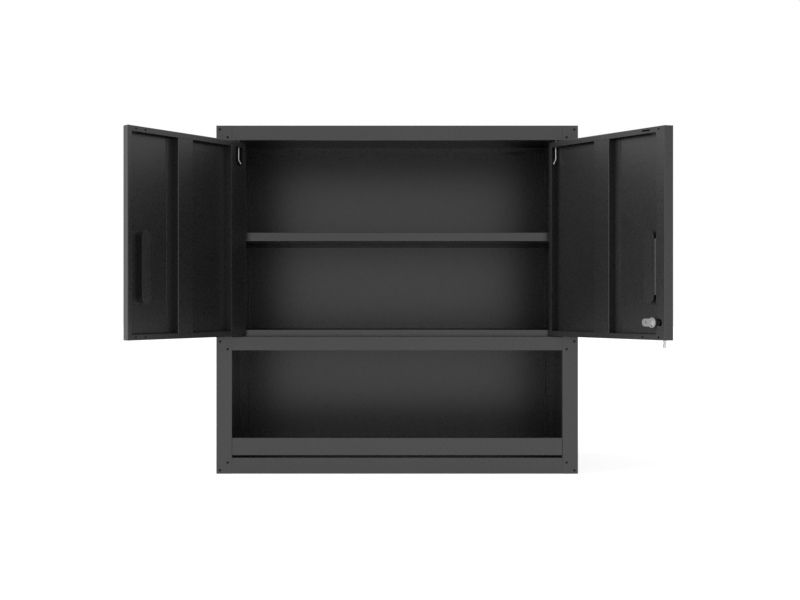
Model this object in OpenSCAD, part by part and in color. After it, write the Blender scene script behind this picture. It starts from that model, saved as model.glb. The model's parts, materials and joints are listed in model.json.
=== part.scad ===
// Free-standing tool cabinet of folded sheet steel: two doors on pivot pins close an upper
// compartment with one shelf, over an open bay with a retaining bar.
// Millimetres. X runs from left to right, Y from front to back and Z up.
// The origin is the middle of the base, on the ground. Both doors are drawn open.

/* [Cabinet] */
// Overall width
cab_w = 800; // [760:10:900]
// Overall depth, over the sheet metal
cab_d = 440; // [400:10:500]
// Overall height
cab_h = 770; // [765:5:850]
// Thickness of the sheet metal
sheet = 1; // [0.8:0.1:1.2]
// Width of each front stile
stile_w = 34.5; // [32:0.5:38]
// Depth of the flange folded back from each stile
stile_return = 18; // [14:1:20]
// Width of the rear flange on each side panel
rear_flange_w = 24; // [20:1:30]
// Forward lip along the edge of each rear flange
rear_lip = 4; // [3:0.5:6]

/* [Levels] */
// Top of the floor, and height of the base rail in front of it
floor_z = 35.4; // [34:0.2:40]
// Height of the slot over the base rail
slot_h = 5.5; // [5:0.5:8]
// Height of the retaining bar
bar_h = 38.7; // [30:0.1:45]
// Underside of the middle rail
mid_z = 273.1; // [260:0.1:280]
// Height of the middle rail's face
mid_h = 30.2; // [28:0.1:34]
// Rise of the door stop over the middle rail
stop_h = 14.3; // [10:0.1:16]
// Distance of the door stop behind the front
stop_d = 22; // [20:0.5:22]
// Height of the top rail
top_rail_h = 32.8; // [30:0.1:36]
// Top of the divider, over the bottom of the door opening
divider_rise = 8.5; // [6:0.5:12]
// Top of the upper shelf
shelf_z = 535.2; // [450:0.1:600]
// Height of the shelf's front lip
shelf_lip = 19.5; // [15:0.5:25]
// Distance of the shelf behind the front
shelf_d = 36; // [34:1:60]
// Reach of the shelf's front and rear edges, folded back under it
shelf_under = 190; // [15:5:190]

/* [Doors] */
// Thickness of a door
door_t = 18; // [17:0.5:18]
// Distance of the pivot axis behind the front
pivot_d = 7; // [6:0.5:8]
// Distance of the pivot axis from the edge of the opening
pivot_gap = 14; // [14:0.5:16]
// Width of the door beyond its pivot axis
hinge_edge = 11; // [10:0.5:11]
// Gap under a door
door_gap = 0.9; // [0.8:0.1:1.5]
// Gap over a door
door_top_gap = 3.3; // [3:0.1:4]
// Opening angle of the left door as drawn
left_open = 122.9; // [0:0.1:125]
// Opening angle of the right door as drawn
right_open = 123.5; // [0:0.1:125]
// Where the inner plane of the left door ends, right of the middle
meeting_x = 2.9; // [2:0.1:3.5]
// Gap between the closed doors
meeting_gap = 3; // [2:0.5:4]
// Slant of both meeting edges over the thickness of the door
meeting_slant = 5.5; // [4:0.5:6]
// Width of the flange along the left door's free edge
left_lip = 11.3; // [10:0.1:14]
// Width of the flange along the right door's free edge
right_lip = 24.6; // [22:0.1:28]
// Width of the flanges along the top and bottom of a door
end_lip = 11.7; // [10:0.1:14]
// Width of the flange along the right door's hinge edge
hinge_lip = 10.2; // [8:0.1:10.4]
// Width of the plate along the left door's hinge edge
hinge_plate_w = 48.7; // [44:0.1:52]

/* [Stiffeners] */
// Width of the raised face of a stiffener
hat_w = 46.5; // [40:0.5:50]
// Width of each foot of a stiffener
hat_foot = 18; // [12:1:20]
// Distance of the left stiffener from the free edge
left_hat_in = 146.8; // [140:0.1:160]
// Distance of the right stiffener from the free edge
right_hat_in = 162.3; // [150:0.1:170]

/* [Handles] */
// Distance of both handle cups from the closed middle line
cup_x = 38.5; // [34:0.5:44]
// Width of a handle cup
cup_w = 29.5; // [26:0.5:32]
// Length of a handle cup
cup_len = 148; // [130:1:160]
// Middle of the handle cups over the ground
cup_z = 452; // [420:1:480]
// Depth of a handle cup behind the door's face
cup_depth = 16.6; // [14:0.1:17]

/* [Lock] */
// Distance of the lock from the right door's pivot axis
lock_s = 316.7; // [312:0.1:318]
// Height of the lock over the ground
lock_z = 339.6; // [339:0.1:345]
// Radius of the lock barrel
barrel_r = 8.5; // [8:0.1:8.6]
// Length of the cam from the lock's axis
cam_len = 27.6; // [26:0.1:28]
// Radius of a key's bow
bow_r = 8.5; // [8:0.1:8.6]
// Radius of the key ring, to the middle of its wire
ring_r = 10; // [10:0.1:11]

/* [Bolts] */
// Radius of the sliding hinge bolts
bolt_r = 1.7; // [1.5:0.1:1.8]
// Radius of the fixed lower pivot pins
pin_r = 3; // [2.5:0.1:3.2]
// Radial running clearance of the pins and bolts
run_gap = 0.05; // [0.03:0.01:0.08]

/* [Hidden] */
$fn = 48;

steel_paint = [0.25, 0.25, 0.25];
plate_paint = [0.22, 0.22, 0.22];
zinc = [0.72, 0.72, 0.74];
nickel = [0.78, 0.77, 0.75];
black_plastic = [0.12, 0.12, 0.12];

eps = 0.01;
seam = 0.2;                                 // gap between sheets that only lie side by side
half_w = cab_w / 2;
open_x = half_w - stile_w;                  // half width of the front openings
inner_x = half_w - sheet - seam;            // half width of what fits between the side panels
back_d = cab_d - sheet;                     // depth of the back panel's front face
flange_d = back_d - sheet;                  // depth of the rear flanges' front face
rear_x = half_w - rear_flange_w;
door_open_z = mid_z + mid_h;                // bottom of the door opening
top_rail_z = cab_h - top_rail_h;
door_z0 = door_open_z + door_gap;
door_z1 = top_rail_z - door_top_gap;
stop_z = door_open_z + stop_h;
stop_x = open_x - pivot_gap - 6;            // the door stop ends short of the turning hinge edges
bar_z = floor_z + slot_h;
divider_z = door_open_z + divider_rise;
divider_d = stop_d + 7;                     // leaves room for the cam behind the door stop
divider_lip = 20;
top_flange_h = 29;
rail_return = 15;                           // depth of the flanges folded back from the rails
hinge_return = 21;                          // depth of the top rail's flange with the bushes
tab_lap = 6;                                // how far a rail's end tabs reach over its face
foot_w = 15;

screw_half_x = 8.5;                         // corner screws: half their spacing
screw_half_z = 8.6;
screw_x = half_w - 16.8;
screw_hole_r = 2.8;
screw_r = 1.5;
top_screw_z = cab_h - 17.45;
mid_screw_z = mid_z + 11.1;
base_screw_z = 16.25;

pivot_x = open_x - pivot_gap;
left_reach = pivot_x + meeting_x;           // inner free edge, from the pivot axis
right_reach = pivot_x - meeting_x - meeting_gap;
cup_s = pivot_x - cup_x - cup_w / 2;

wall_hole_r = 4.25;
wall_hole_x = 300;
wall_hole_z = [285, 545];
back_screw_r = 2;

barrel_head_t = -2;
barrel_end_t = 20;
plug_r = 5.5;
plug_end_t = 23.6;
cam_t = 2.2;
cam_root_r = 10.4;
cam_tip_r = 8;
cam_hub_r = 3;
key_t = -11;                                // middle of the keys' bows, before the door's face
key_thick = 2;
bow_hole_r = 2.4;
ring_wire_r = 0.7;
blade_h = 7.2;
blade_t = 1.6;
ring_z = lock_z - ring_r;
spare_z = lock_z - 2 * ring_r;

bolt_tip_z = top_rail_z + 4.6;
bolt_elbow_z = door_z1 - 39;
bolt_tail_in = 6.6;
bolt_tail_down = 10.5;
collar_r = 3.4;
collar_h = 1.5;
collar_z = door_z1 - sheet - seam - collar_h;
bracket_z = door_z1 - 12.4;                 // underside of the bracket's leg
spring_z0 = bracket_z + sheet;
spring_r = 2.6;                             // middle of the spring's wire
spring_wire_r = 0.3;
spring_turns = 4;

// ---------- shapes in the cabinet's frame ----------

// A box between two limits each in X, depth behind the front, and Z
module span(x, d, z)
    translate([x[0], d[0] - cab_d / 2, z[0]]) cube([x[1] - x[0], d[1] - d[0], z[1] - z[0]]);

// A box of half width x about the middle
module wide(x, d, z) span([-x, x], d, z);

// A cylinder along the depth
module along_d(x, z, d, r, sides = $fn)
    translate([x, d[0] - cab_d / 2, z]) rotate([-90, 0, 0]) cylinder(h = d[1] - d[0], r = r, $fn = sides);

module both_sides() {
    children();
    mirror([1, 0, 0]) children();
}

// The two screws at one end of a rail: outer_up puts the outer one above the inner one
module screw_pair(z, outer_up) {
    rise = outer_up ? screw_half_z : -screw_half_z;
    translate([screw_x + screw_half_x, 0, z + rise]) children();
    translate([screw_x - screw_half_x, 0, z - rise]) children();
}

module corner_screw_places() {
    screw_pair(top_screw_z, true) children();
    screw_pair(mid_screw_z, true) children();
    screw_pair(base_screw_z, false) children();
}

// ---------- shapes in a door's frame: s from the pivot axis, t from the outer face ----------

module door_box(s, t, z)
    translate([s[0], t[0] - pivot_d, z[0]]) cube([s[1] - s[0], t[1] - t[0], z[1] - z[0]]);

module along_t(s, z, t, r, sides = $fn)
    translate([s, t[0] - pivot_d, z]) rotate([-90, 0, 0]) cylinder(h = t[1] - t[0], r = r, $fn = sides);

module on_left_door()
    translate([-pivot_x, pivot_d - cab_d / 2, 0]) rotate([0, 0, -left_open]) children();

module on_right_door()
    translate([pivot_x, pivot_d - cab_d / 2, 0]) rotate([0, 0, right_open]) mirror([1, 0, 0]) children();

// ---------- cabinet ----------

// The lips stop short of the divider, the shelf and the top's rear flange
rear_lip_levels = [
    [floor_z + seam, divider_z - divider_lip - seam],
    [divider_z + seam, shelf_z - shelf_lip - seam],
    [shelf_z + seam, cab_h - top_flange_h - seam]
];

module side_panel() {
    lower_return = [floor_z + seam, mid_z - seam];
    upper_return = [door_open_z + seam, top_rail_z - seam];
    color(steel_paint) {
        difference() {
            union() {
                span([half_w - sheet, half_w], [0, back_d], [0, cab_h]);
                span([open_x, half_w], [0, sheet], [0, cab_h]);
            }
            corner_screw_places() along_d(0, 0, [-1, sheet + 1], screw_hole_r);
        }
        difference() {
            union() {
                span([open_x, open_x + sheet], [0, stile_return], lower_return);
                span([open_x, open_x + sheet], [0, stile_return], upper_return);
            }
            bar_screw_places() cylinder(h = 20, r = screw_r + 0.2, center = true);
        }
        difference() {
            span([rear_x, half_w], [flange_d, back_d], [0, cab_h]);
            side_back_screw_places() along_d(0, 0, [flange_d - 1, cab_d], back_screw_r + 0.2);
        }
        for (z = rear_lip_levels)
            span([rear_x, rear_x + sheet], [flange_d - rear_lip, back_d], z);
        span([half_w - foot_w, half_w], [0, back_d], [0, sheet]);
    }
}

module left_side_panel() mirror([1, 0, 0]) side_panel();

module right_side_panel() side_panel();

// A rail's end tab, joggled behind the stile
module rail_tab(z) difference() {
    span([open_x - tab_lap, half_w - 3], [sheet, 2 * sheet], z);
    corner_screw_places() along_d(0, 0, [0, 5], screw_r + 0.2);
}

module top_panel() color(steel_paint) {
    wide(inner_x, [sheet, flange_d - seam], [cab_h - sheet, cab_h]);
    wide(open_x - seam, [0, sheet], [top_rail_z, cab_h]);
    difference() {
        wide(open_x - seam, [0, hinge_return], [top_rail_z, top_rail_z + sheet]);
        both_sides() translate([pivot_x, pivot_d - cab_d / 2, top_rail_z - 1]) cylinder(h = 4, r = bush_r);
    }
    difference() {
        wide(rear_x - seam, [flange_d - seam, back_d], [cab_h - top_flange_h, cab_h]);
        top_back_screw_places() along_d(0, 0, [flange_d - 1, cab_d], back_screw_r + 0.2);
    }
    both_sides() {
        rail_tab([top_rail_z, cab_h - 2 * sheet]);
        span([inner_x - sheet, inner_x], [hinge_return, flange_d - 2], [cab_h - 25, cab_h - sheet]);
    }
}

module bottom_panel() color(steel_paint) {
    under = floor_z - sheet;
    wide(inner_x, [sheet, flange_d - seam], [under, floor_z]);
    wide(open_x - seam, [0, sheet], [0, floor_z]);
    wide(open_x - seam, [0, rail_return], [0, sheet]);
    difference() {
        wide(rear_x - seam, [flange_d - seam, back_d], [0, floor_z]);
        base_back_screw_places() along_d(0, 0, [flange_d - 1, cab_d], back_screw_r + 0.2);
    }
    wide(rear_x - seam, [flange_d - rail_return, flange_d], [0, sheet]);
    both_sides() {
        rail_tab([2 * sheet, floor_z - 2 * sheet]);
        span([inner_x - sheet, inner_x], [3, flange_d - 2], [sheet, floor_z - sheet]);
    }
}

// Channel under the middle of the floor, standing on the ground
module floor_stiffener() color(steel_paint) {
    half = 30;
    depth = [rail_return + 2, flange_d - rail_return - 2];
    under = floor_z - sheet;
    wide(half, depth, [0, sheet]);
    both_sides() {
        span([half - sheet, half], depth, [0, under]);
        span([half - sheet, half + foot_w], depth, [under - sheet, under]);
    }
}

module back_panel() color(steel_paint) difference() {
    wide(half_w - 1, [back_d, cab_d], [1, cab_h - 1]);
    for (x = [-wall_hole_x, wall_hole_x])
        for (z = wall_hole_z) along_d(x, z, [back_d - 1, cab_d + 1], wall_hole_r);
    back_screw_places() along_d(0, 0, [back_d - 1, cab_d + 1], back_screw_r + 0.2);
}

// Face, ledge with the lower hinge bushes, and the door stop that rises behind the doors
module middle_rail() color(steel_paint) {
    wide(open_x - seam, [0, sheet], [mid_z, door_open_z]);
    wide(open_x - seam, [0, rail_return], [mid_z, mid_z + sheet]);
    difference() {
        wide(open_x - seam, [0, stop_d + sheet], [door_open_z - sheet, door_open_z]);
        both_sides() translate([pivot_x, pivot_d - cab_d / 2, door_open_z - 2]) cylinder(h = 4, r = bush_r);
    }
    wide(stop_x, [stop_d, stop_d + sheet], [door_open_z - sheet, stop_z]);
    both_sides() rail_tab([mid_z, door_open_z - 2 * sheet]);
}

module retaining_bar() color(steel_paint) {
    top = bar_z + bar_h;
    wide(open_x - seam, [0, sheet], [bar_z, top]);
    wide(open_x - seam, [0, rail_return], [top - sheet, top]);
    wide(open_x - seam, [0, rail_return], [bar_z, bar_z + sheet]);
    both_sides() difference() {
        span([open_x - seam - sheet, open_x - seam], [0, rail_return], [bar_z, top]);
        bar_screw_places() cylinder(h = 20, r = screw_r + 0.2, center = true);
    }
}

// Places and directions of the two screws in each end of the retaining bar
module bar_screw_places()
    for (z = [bar_z + 11, bar_z + bar_h - 11])
        translate([open_x, 9 - cab_d / 2, z]) rotate([0, 90, 0]) children();

// A shelf tray: top sheet, and at the front and the back a lip folded back under it
module tray(top, lip, front_d, under) {
    bottom = top - lip;
    wide(inner_x, [front_d, flange_d - seam], [top - sheet, top]);
    wide(inner_x, [front_d, front_d + sheet], [bottom, top]);
    wide(inner_x, [front_d, front_d + under], [bottom, bottom + sheet]);
    wide(inner_x, [flange_d - seam - sheet, flange_d - seam], [bottom, top]);
    wide(inner_x, [flange_d - under, flange_d - seam], [bottom, bottom + sheet]);
}

module upper_shelf() color(steel_paint) tray(shelf_z, shelf_lip, shelf_d, shelf_under);

module divider_shelf() color(steel_paint) tray(divider_z, divider_lip, divider_d, rail_return);

// Angle brackets that carry a tray's top sheet, welded to the side panels
module angle_brackets(top, front_d) {
    leg = 14;
    depth = [front_d + rail_return + 8, flange_d - rail_return - 8];
    level = top - sheet;
    both_sides() {
        span([half_w - 2 * sheet, half_w - sheet], depth, [level - leg, level]);
        span([half_w - sheet - leg, half_w - sheet], depth, [level - sheet, level]);
    }
}

module shelf_brackets() color(steel_paint) angle_brackets(shelf_z, shelf_d);

module divider_brackets() color(steel_paint) angle_brackets(divider_z, divider_d);

// Countersunk screws, sunk a little into the stiles
module corner_screws() color(zinc) both_sides() corner_screw_places() {
    head_r = screw_hole_r - 0.1;
    difference() {
        along_d(0, 0, [0.4, sheet], head_r);
        along_d(0, 0, [0, 0.8], 1.1, 6);
    }
    along_d(0, 0, [sheet - eps, 8], screw_r);
}

module side_back_screw_places()
    for (z = [60, 280, 490, 710]) translate([half_w - 12, 0, z]) children();

module top_back_screw_places()
    for (x = [-250, 0, 250]) translate([x, 0, cab_h - 14]) children();

module base_back_screw_places()
    for (x = [-250, 0, 250]) translate([x, 0, 17]) children();

module back_screw_places() {
    both_sides() side_back_screw_places() children();
    top_back_screw_places() children();
    base_back_screw_places() children();
}

// Flat-headed screws through the back panel into the rear flanges
module back_screws() color(zinc) back_screw_places() {
    along_d(0, 0, [flange_d - 1.5, cab_d], back_screw_r);
    difference() {
        along_d(0, 0, [cab_d, cab_d + 1.6], 4.2);
        along_d(0, 0, [cab_d + 0.6, cab_d + 2], 1.6, 6);
    }
}

module bar_screws() color(zinc) both_sides() bar_screw_places() {
    inside = -seam - sheet;
    translate([0, 0, inside - 1.4]) cylinder(h = 1.4, r = 3.2);
    translate([0, 0, inside]) cylinder(h = 9, r = screw_r);
}

bush_r = 4.5;
bush_flange_r = 6;

module hinge_bush(z, low, high, flange_low, flange_high, bore)
    translate([pivot_x, pivot_d - cab_d / 2, z]) difference() {
        union() {
            translate([0, 0, low]) cylinder(h = high - low, r = bush_r - 0.02);
            translate([0, 0, flange_low]) cylinder(h = flange_high - flange_low, r = bush_flange_r);
        }
        translate([0, 0, low - 5]) cylinder(h = high - low + 10, r = bore);
    }

// Nylon bushes in the top rail for the sliding bolts
module upper_hinge_bushes() color(black_plastic) both_sides()
    hinge_bush(top_rail_z, -0.3, 2.6, sheet, 2.2, bolt_r + run_gap);

// Nylon bushes in the middle rail for the fixed pins
module lower_hinge_bushes() color(black_plastic) both_sides()
    hinge_bush(door_open_z, -3, 0.6, 0, 0.6, pin_r + run_gap);

// ---------- doors ----------

// Folded outline of a door: skin, slanted free edge with its flange, hinge edge with its flange.
// reach is the inner free edge, slant the outward lean of the outer one
module door_section(reach, slant, lip, hinge_flange) {
    low = -pivot_d;
    high = door_t - pivot_d;
    linear_extrude(height = door_z1 - door_z0) union() {
        polygon([[-hinge_edge, low], [reach + slant, low], [reach + slant, low + sheet],
            [-hinge_edge, low + sheet]]);
        polygon([[reach + slant, low], [reach, high], [reach - sheet, high],
            [reach + slant - sheet, low]]);
        polygon([[reach - lip, high - sheet], [reach - sheet / 2, high - sheet], [reach - sheet / 2, high],
            [reach - lip, high]]);
        polygon([[-hinge_edge, low], [-hinge_edge + sheet, low], [-hinge_edge + sheet, high],
            [-hinge_edge, high]]);
        polygon([[-hinge_edge, high - sheet], [hinge_flange - hinge_edge, high - sheet],
            [hinge_flange - hinge_edge, high], [-hinge_edge, high]]);
    }
}

// One end wall of a door and the flange folded from it; up is 1 at the bottom and -1 at the top
module door_end(reach, slant, z, up) {
    low = -pivot_d;
    high = door_t - pivot_d;
    wall = up > 0 ? [z, z + sheet] : [z - sheet, z];
    flange = up > 0 ? [z, z + end_lip] : [z - end_lip, z];
    translate([0, 0, wall[0]]) linear_extrude(height = sheet)
        polygon([[-hinge_edge, low], [reach + slant, low], [reach, high], [-hinge_edge, high]]);
    door_box([-hinge_edge, reach - sheet / 2], [door_t - sheet, door_t], flange);
}

module door_panel(reach, slant, lip, hinge_flange) difference() {
    union() {
        translate([0, 0, door_z0]) door_section(reach, slant, lip, hinge_flange);
        door_end(reach, slant, door_z0, 1);
        door_end(reach, slant, door_z1, -1);
    }
    // pivot holes through the end walls
    translate([0, 0, door_z1 - 3]) cylinder(h = 6, r = bolt_r + run_gap);
    translate([0, 0, door_z0 - 3]) cylinder(h = 6, r = pin_r);
    cup_shape(cup_w / 2 + 0.1, [-1, 2]);
}

// Round-ended upright block at a handle's place; r is half its width
module cup_shape(r, t) {
    straight = cup_len - cup_w;
    door_box([cup_s - r, cup_s + r], t, [cup_z - straight / 2, cup_z + straight / 2]);
    for (z = [cup_z - straight / 2, cup_z + straight / 2]) along_t(cup_s, z, t, r);
}

end_hole_z = 5.8;

module end_hole(s, z, half_len = 0) {
    r = half_len > 0 ? 1.5 : 2.2;
    for (shift = half_len > 0 ? [-half_len, half_len] : [0])
        along_t(s + shift, z, [door_t - 2, door_t + 1], r);
    if (half_len > 0)
        door_box([s - half_len, s + half_len], [door_t - 2, door_t + 1], [z - r, z + r]);
}

module left_door_panel() color(plate_paint) on_left_door() difference() {
    door_panel(left_reach, -meeting_slant, left_lip, sheet);
    for (z = [door_z0 + end_hole_z, door_z1 - end_hole_z])
        for (from_edge = [23.1, 50.2]) end_hole(left_reach - from_edge, z);
}

module right_door_panel() color(plate_paint) on_right_door() difference() {
    door_panel(right_reach, meeting_slant, right_lip, hinge_lip);
    end_hole(right_reach - 17.6, door_z1 - end_hole_z);
    end_hole(right_reach - 52.8, door_z1 - end_hole_z, 10.5);
    end_hole(right_reach - 17.3, door_z0 + end_hole_z);
    end_hole(right_reach - 62.5, door_z0 + end_hole_z);
    // the lock's hole in the skin, and its notch in the wide flange
    along_t(lock_s, lock_z, [-1, 2], barrel_r + 0.1);
    notch_s = right_reach - 16.3;
    notch_r = barrel_r + 0.3;
    through = [door_t - 2, door_t + 1];
    along_t(notch_s, lock_z, through, notch_r);
    door_box([lock_s - 15, notch_s], through, [lock_z - notch_r, lock_z + notch_r]);
}

// Hat-section stiffener; s0 is the edge of its raised face nearer the hinge
module stiffener(s0) {
    z = [door_z0 + end_lip + seam, door_z1 - end_lip - seam];
    s1 = s0 + hat_w;
    door_box([s0, s1], [door_t - sheet, door_t], z);
    door_box([s0, s0 + sheet], [sheet, door_t], z);
    door_box([s1 - sheet, s1], [sheet, door_t], z);
    door_box([s0 - hat_foot, s0 + sheet], [sheet, 2 * sheet], z);
    door_box([s1 - sheet, s1 + hat_foot], [sheet, 2 * sheet], z);
}

module left_door_stiffener() color(plate_paint) on_left_door()
    stiffener(left_reach - left_hat_in - hat_w);

module right_door_stiffener() color(plate_paint) on_right_door()
    stiffener(right_reach - right_hat_in - hat_w);

// Angle along the hinge edge of the left door, with a window in front of the sliding bolt
module left_hinge_plate() color(plate_paint) on_left_door() {
    z = [door_z0 + end_lip + seam, door_z1 - end_lip - seam];
    s0 = sheet - hinge_edge;
    difference() {
        door_box([s0, hinge_plate_w - hinge_edge], [door_t - sheet, door_t], z);
        door_box([-2, 22], [door_t - 3, door_t + 1], [z[1] - 42, z[1] + 1]);
    }
    door_box([s0, s0 + sheet], [sheet, door_t], z);
}

// Recessed pull: a flange on the face and a closed cup behind it
module handle_cup() difference() {
    union() {
        cup_shape(cup_w / 2, [0, cup_depth]);
        cup_shape(cup_w / 2 + 3, [-1, 0]);
    }
    cup_shape(cup_w / 2 - 1.5, [-2, cup_depth - 1.5]);
}

module left_handle_cup() color(black_plastic) on_left_door() handle_cup();

module right_handle_cup() color(black_plastic) on_right_door() handle_cup();

// Small angle that guides the sliding bolt and carries its spring
module bolt_bracket() {
    top = door_z1 - sheet - seam;
    door_box([-5, 5], [sheet, 2 * sheet], [bracket_z, top]);
    difference() {
        door_box([-5, 5], [sheet, 12.5], [bracket_z, bracket_z + sheet]);
        translate([0, 0, bracket_z - 1]) cylinder(h = 4, r = bolt_r + run_gap);
    }
}

module left_bolt_bracket() color(zinc) on_left_door() bolt_bracket();

module right_bolt_bracket() color(zinc) on_right_door() bolt_bracket();

// Round bolt with a collar under the door's top and a tail bent towards the inside for a finger
module hinge_bolt() {
    tail_len = sqrt(pow(bolt_tail_in, 2) + pow(bolt_tail_down, 2));
    tail_lean = atan2(bolt_tail_in, bolt_tail_down);
    translate([0, 0, bolt_elbow_z]) cylinder(h = bolt_tip_z - bolt_elbow_z, r = bolt_r);
    translate([0, 0, bolt_elbow_z]) sphere(r = bolt_r + 0.1);
    translate([0, 0, bolt_elbow_z]) rotate([tail_lean, 0, 0]) mirror([0, 0, 1])
        cylinder(h = tail_len, r = bolt_r);
    translate([0, 0, collar_z]) cylinder(h = collar_h, r = collar_r);
}

module left_hinge_bolt() color(zinc) on_left_door() hinge_bolt();

module right_hinge_bolt() color(zinc) on_right_door() hinge_bolt();

// ---------- bolt springs ----------

rings_per_turn = 8;
wire_sides = 6;
stub = 2 * spring_wire_r;                   // straight end, as long as the wire is thick
spring_len = collar_z - spring_z0;
coil_len = spring_len - 2 * stub;
coil_rings = spring_turns * rings_per_turn;

// Middle of the wire: a straight stub, the turns, and a straight stub
function coil_point(i) = let (a = 360 * i / rings_per_turn)
    [spring_r * cos(a), spring_r * sin(a), spring_z0 + stub + coil_len * i / coil_rings];
wire_path = concat([[spring_r, 0, spring_z0]], [for (i = [0:coil_rings]) coil_point(i)],
    [[spring_r, 0, collar_z]]);
function unit(v) = v / norm(v);
function path_dir(p, i) = i == 0 ? unit(p[1] - p[0])
    : i == len(p) - 1 ? unit(p[i] - p[i - 1]) : unit(unit(p[i + 1] - p[i]) + unit(p[i] - p[i - 1]));

// A tube along a path, its rings turned outwards from the Z axis
module tube(path, r) {
    last = len(path) - 1;
    points = [for (i = [0:last]) let (dir = path_dir(path, i),
        away = unit([path[i][0], path[i][1], 0]),
        u = unit(away - dir * (away * dir)), v = cross(dir, u))
        for (k = [0:wire_sides - 1]) let (a = 360 * k / wire_sides) path[i] + r * (cos(a) * u + sin(a) * v)];
    sides = [for (i = [0:last - 1]) for (k = [0:wire_sides - 1]) let (
        a = i * wire_sides + k, b = i * wire_sides + (k + 1) % wire_sides)
        each [[a, a + wire_sides, b], [b, a + wire_sides, b + wire_sides]]];
    caps = [for (k = [1:wire_sides - 2]) each [[0, k, k + 1],
        [last * wire_sides, last * wire_sides + k + 1, last * wire_sides + k]]];
    polyhedron(points = points, faces = concat(sides, caps));
}

module bolt_spring() tube(wire_path, spring_wire_r);

module left_bolt_spring() color(zinc) on_left_door() bolt_spring();

module right_bolt_spring() color(zinc) on_right_door() bolt_spring();

// Least gap between turns, on the points of the wire's middle
turn_gap = min([for (i = [0:coil_rings - rings_per_turn])
    norm(coil_point(i + rings_per_turn) - coil_point(i))]) - 2 * spring_wire_r;
echo(turn_gap = turn_gap);

// Fixed pin through the bottom of a door, with its riveted head inside
module lower_pivot() {
    translate([0, 0, door_open_z - 3.4]) cylinder(h = door_z0 + sheet - door_open_z + 3.4, r = pin_r);
    translate([0, 0, door_z0 + sheet]) cylinder(h = 5, r = 5);
    translate([0, 0, door_z0 + sheet + 5]) cylinder(h = 4, r1 = 5, r2 = 3, $fn = 48);
}

module left_lower_pivot() color(zinc) on_left_door() lower_pivot();

module right_lower_pivot() color(zinc) on_right_door() lower_pivot();

// ---------- lock ----------

module at_lock() on_right_door() children();

module lock_barrel() color(nickel) at_lock() difference() {
    union() {
        along_t(lock_s, lock_z, [barrel_head_t, 0], barrel_r + 2.5);
        along_t(lock_s, lock_z, [0, barrel_end_t], barrel_r);
    }
    along_t(lock_s, lock_z, [barrel_head_t - 1, barrel_end_t + 1], plug_r + run_gap);
}

module barrel_nut() color(nickel) at_lock() difference() {
    along_t(lock_s, lock_z, [sheet, sheet + 3], 12.4, 6);
    along_t(lock_s, lock_z, [0, sheet + 4], barrel_r + 0.02);
}

// The core that the key turns, with its keyway and a square tail for the cam
module lock_plug() color(nickel) at_lock() {
    difference() {
        along_t(lock_s, lock_z, [barrel_head_t - 0.3, plug_end_t], plug_r);
        key_blade(lock_z, [barrel_head_t - 1, plug_end_t - 6], 0.2);
    }
    along_t(lock_s, lock_z, [plug_end_t, plug_end_t + 6], cam_hub_r);
}

// Long cam that drops behind the door stop when the key is turned
module lock_cam() color(nickel) at_lock() difference() {
    t = [plug_end_t, plug_end_t + cam_t];
    union() {
        along_t(lock_s, lock_z, t, cam_root_r);
        along_t(lock_s - cam_len + cam_tip_r, lock_z, t, cam_tip_r);
        door_box([lock_s - cam_len + cam_tip_r, lock_s], t, [lock_z - cam_tip_r, lock_z + cam_tip_r]);
    }
    along_t(lock_s, lock_z, [t[0] - 1, t[1] + 1], cam_hub_r + 0.02);
    along_t(lock_s - 17.2, lock_z, [t[0] - 1, t[1] + 1], 1.5);
    along_t(lock_s - 0.4, lock_z - 7.6, [t[0] - 1, t[1] + 1], 1.4);
}

module cam_nut() color(nickel) at_lock() difference() {
    along_t(lock_s, lock_z, [plug_end_t + cam_t, plug_end_t + cam_t + 2.4], 5.8, 6);
    along_t(lock_s, lock_z, [plug_end_t, plug_end_t + 8], cam_hub_r + 0.02);
}

// A disc at a key's bow, square to the door
module bow_disc(z, thick, r)
    translate([lock_s, key_t - pivot_d, z]) rotate([0, 90, 0]) cylinder(h = thick, r = r, center = true);

module key_bow(z) difference() {
    bow_disc(z, key_thick, bow_r);
    bow_disc(z, 2 * key_thick, bow_hole_r);
}

// The inserted blade, grown by a gap all round for the keyway
module key_blade(z, t, gap = 0)
    door_box([lock_s - blade_t / 2 - gap, lock_s + blade_t / 2 + gap], t,
        [z - blade_h / 2 - gap, z + blade_h / 2 + gap]);

module key() color(nickel) at_lock() {
    key_bow(lock_z);
    key_blade(lock_z, [key_t + bow_r - 0.5, plug_end_t - 7]);
}

module key_ring() color(nickel) at_lock()
    translate([lock_s, key_t - pivot_d, ring_z]) rotate([90, 0, 0])
        rotate_extrude() translate([ring_r, 0]) circle(r = ring_wire_r);

// Hangs from the lowest point of the ring
module spare_key() color(nickel) at_lock() {
    tip_z = lock_z - 52.8;
    key_bow(spare_z);
    door_box([lock_s - blade_t / 2, lock_s + blade_t / 2], [key_t - blade_h / 2, key_t + blade_h / 2],
        [tip_z, spare_z - bow_r + 0.5]);
}

left_side_panel();
right_side_panel();
top_panel();
bottom_panel();
floor_stiffener();
back_panel();
middle_rail();
retaining_bar();
upper_shelf();
divider_shelf();
shelf_brackets();
divider_brackets();
corner_screws();
back_screws();
bar_screws();
upper_hinge_bushes();
lower_hinge_bushes();
left_door_panel();
left_door_stiffener();
left_hinge_plate();
left_handle_cup();
left_bolt_bracket();
left_lower_pivot();
left_hinge_bolt();
left_bolt_spring();
right_door_panel();
right_door_stiffener();
right_handle_cup();
right_bolt_bracket();
right_lower_pivot();
right_hinge_bolt();
right_bolt_spring();
lock_barrel();
barrel_nut();
lock_plug();
lock_cam();
cam_nut();
key();
key_ring();
spare_key();
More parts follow.
